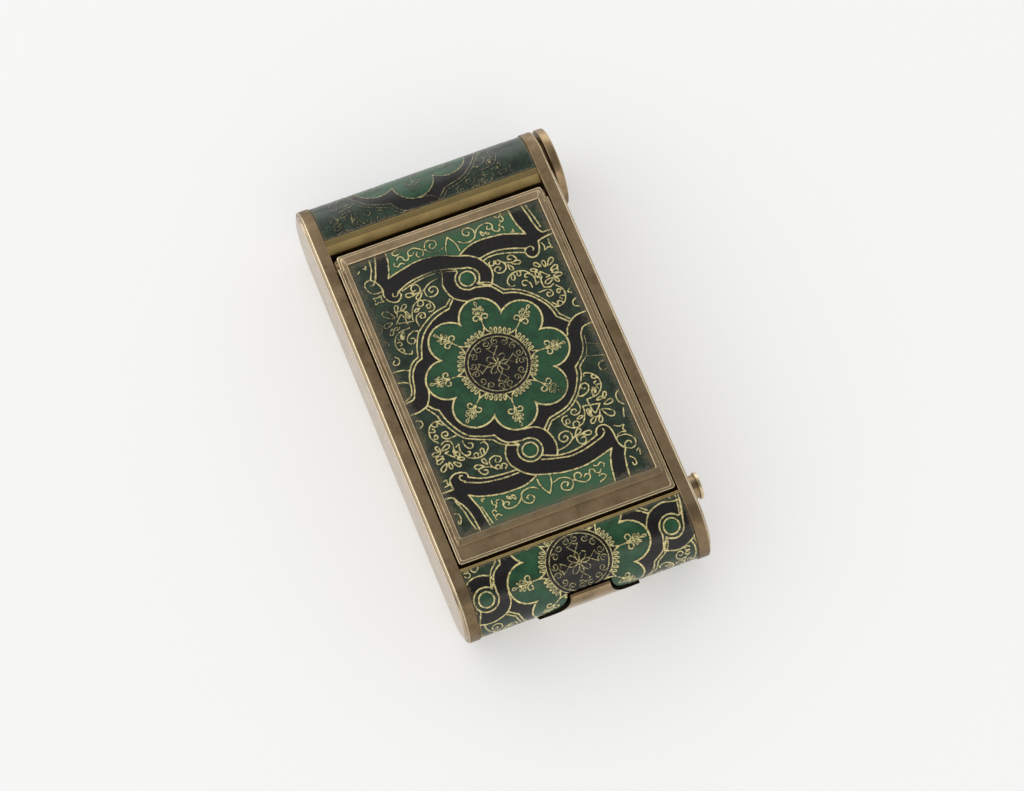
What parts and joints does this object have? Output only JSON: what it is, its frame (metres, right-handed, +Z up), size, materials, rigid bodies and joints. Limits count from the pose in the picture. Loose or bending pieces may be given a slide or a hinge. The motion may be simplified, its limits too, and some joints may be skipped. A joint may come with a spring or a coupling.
{
  "type": "enamel vanity case",
  "caption": "Camera-shaped brass vanity case with curved enamel ends, hinged lid and lift-off back cover with enamel panels, thumb tab, round tube cap and push button.",
  "frame": {"origin": "middle of the underside, on the back panel's flat face", "axes": "+Z up out of the lid, +Y along the case towards the tube cap's end, +X across it towards the cap and the button"},
  "size_m": [0.0472, 0.0854, 0.015],
  "materials": {
    "brass": "worn satin",
    "bright_brass": "satin",
    "enamel": "glossy enamel on metal sheet"
  },
  "bodies": {
    "case": {"side_plate_left": "brass", "side_plate_right": "brass", "case_shell": "bright_brass", "top_plaque": "enamel", "bottom_plaque": "enamel", "hinge_pin_left": "bright_brass", "hinge_pin_right": "bright_brass", "back_cover": "brass", "back_panel": "enamel", "tube_cap": "brass"},
    "lid": {"lid_frame": "brass", "lid_panel": "enamel"},
    "button": {"release_button": "brass"}
  },
  "joints": [
    {"name": "lid_hinge", "type": "hinge", "parent": "case", "child": "lid", "pos_m": [0, 0.0275, 0.0122], "axis": [-1, 0, 0], "range_deg": [0, 100]},
    {"name": "button_press", "type": "slide", "parent": "case", "child": "button", "axis": [-1, 0, 0], "range_m": [0, 0.0008], "stiffness_N_per_m": 400}
  ]
}
